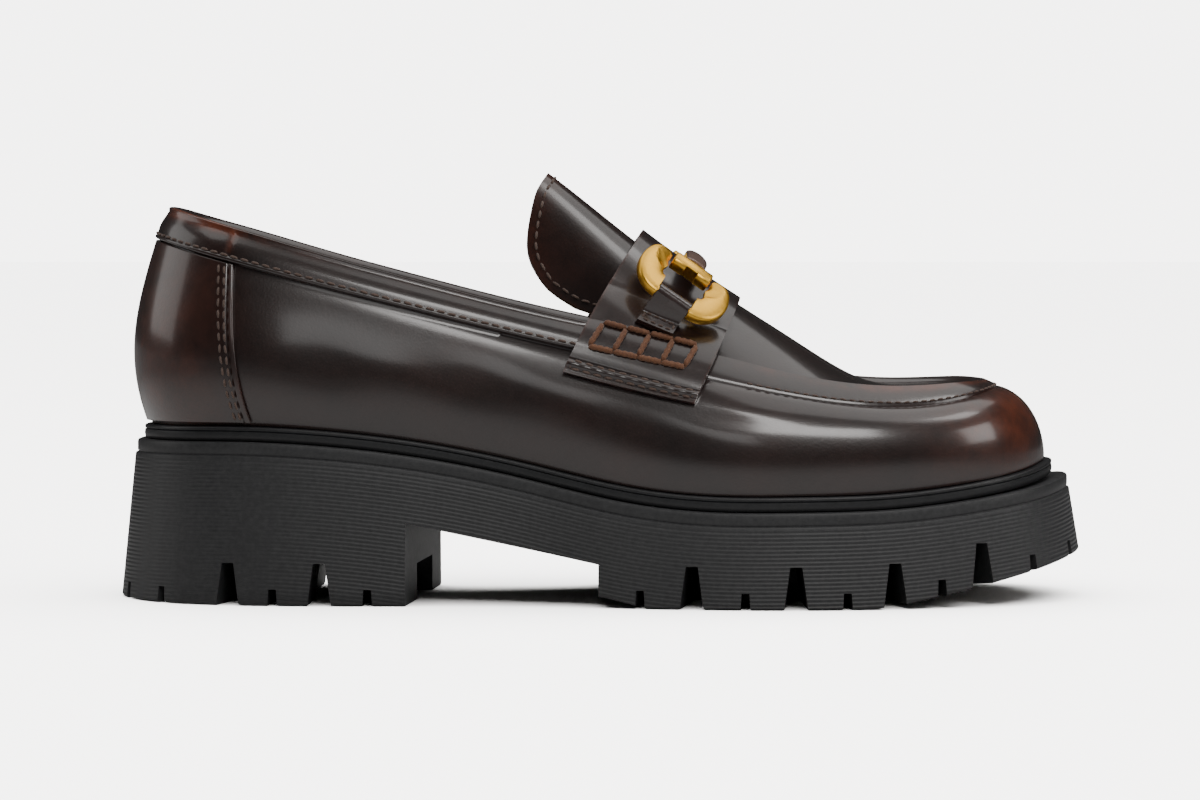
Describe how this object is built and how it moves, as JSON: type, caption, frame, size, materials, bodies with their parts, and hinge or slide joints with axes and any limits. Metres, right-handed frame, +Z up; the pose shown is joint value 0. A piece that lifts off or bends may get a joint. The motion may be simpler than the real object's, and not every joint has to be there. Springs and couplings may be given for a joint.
{
  "type": "chunky lug sole loafer",
  "caption": "Right slip-on loafer with a raised moc-toe plug, saddle strap with metal ring trim, standing tongue and a thick lug sole with a block heel",
  "frame": {"origin": "centre of the bounding box on X and Y, floor under the sole on Z", "axes": "+X from heel to toe, +Y to the inner side of the foot, +Z up"},
  "size_m": [0.279, 0.104, 0.1229],
  "materials": {
    "sole_rubber": "matt moulded rubber",
    "lining_leather": "soft lining",
    "upper_leather": "high-shine brush-off leather",
    "trim_metal": "satin gold plate"
  },
  "bodies": {
    "root": {"outsole": "sole_rubber", "midsole": "sole_rubber", "insole": "lining_leather", "upper": "upper_leather", "heel_counter": "upper_leather", "collar_binding": "upper_leather", "tongue": "upper_leather", "saddle_strap": "upper_leather", "keeper_outer": "upper_leather", "keeper_inner": "upper_leather", "ring_outer": "trim_metal", "ring_inner": "trim_metal", "barrel_outer": "trim_metal", "barrel_inner": "trim_metal", "centre_link": "trim_metal"}
  },
  "joints": []
}
